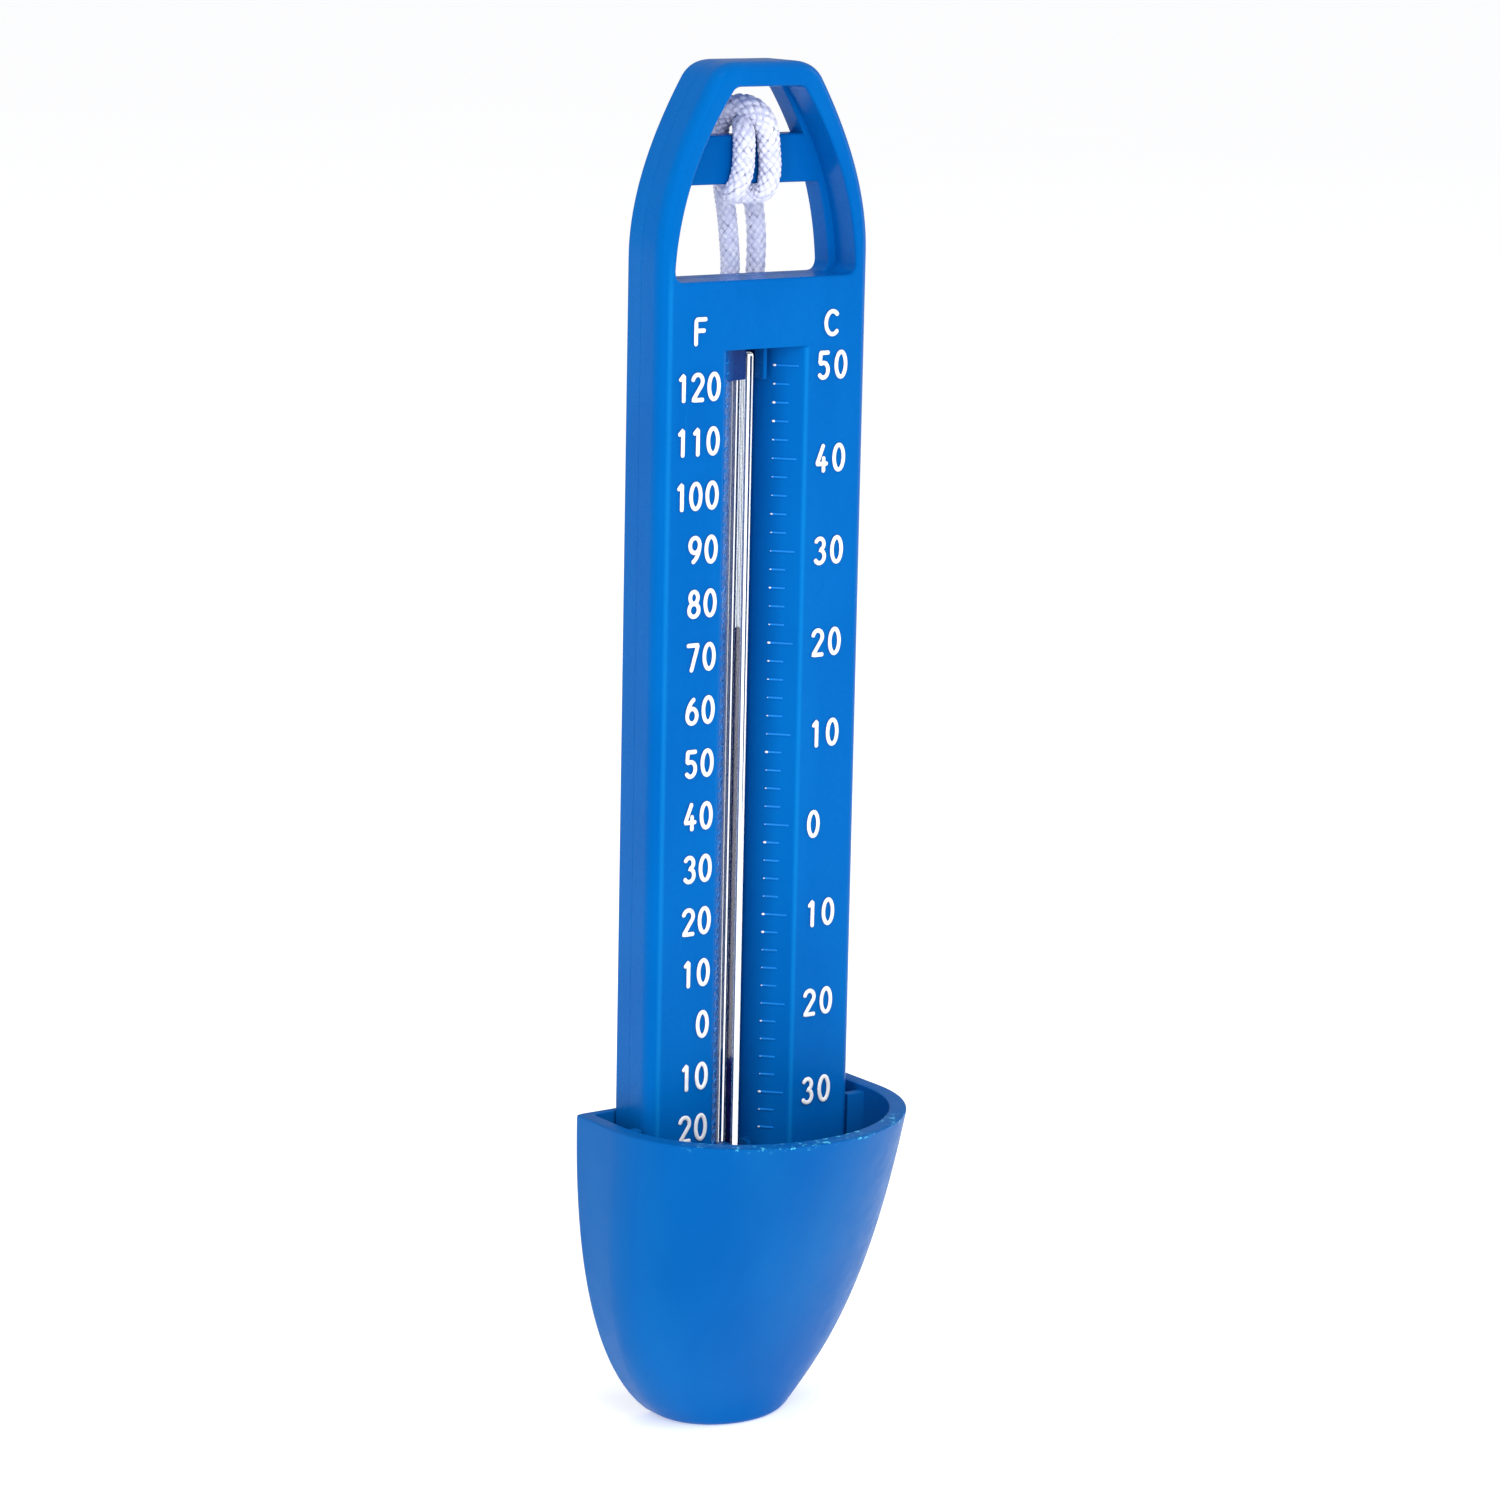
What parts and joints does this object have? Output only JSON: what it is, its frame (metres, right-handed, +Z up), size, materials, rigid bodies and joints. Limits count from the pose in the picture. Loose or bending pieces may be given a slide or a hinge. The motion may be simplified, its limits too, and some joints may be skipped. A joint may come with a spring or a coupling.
{
  "type": "floating pool thermometer",
  "caption": "Slim floating pool thermometer with a glass tube between two moulded scales, a water cup round its foot and a cord on its head bar.",
  "frame": {"origin": "on the surface it stands on, under the middle of the cup's box", "axes": "+Z up along the tube, -Y the scale's face, +X to the reader's right"},
  "size_m": [0.0428, 0.0371, 0.1784],
  "materials": {
    "body_blue": "satin moulded plastic",
    "cup_blue": "satin moulded plastic",
    "glass": "clear drawn glass",
    "spirit": "dyed spirit",
    "ballast": "turned",
    "braid": "braided cord",
    "tie": "soft band"
  },
  "bodies": {
    "float": {"front_shell": "body_blue", "rear_cover": "body_blue", "water_cup": "cup_blue", "glass_tube": "glass", "bulb_spirit": "spirit", "ballast_left": "ballast", "ballast_right": "ballast", "cord_left": "braid", "cord_right": "braid", "cord_hank": "braid", "hank_tie": "tie", "end_knot": "braid"},
    "spirit": {"spirit_column": "spirit"}
  },
  "joints": [
    {"name": "spirit_rise", "type": "slide", "parent": "float", "child": "spirit", "axis": [0, 0, 1], "range_m": [-0.0665, 0.0335], "deforming": ["spirit_column"]}
  ]
}
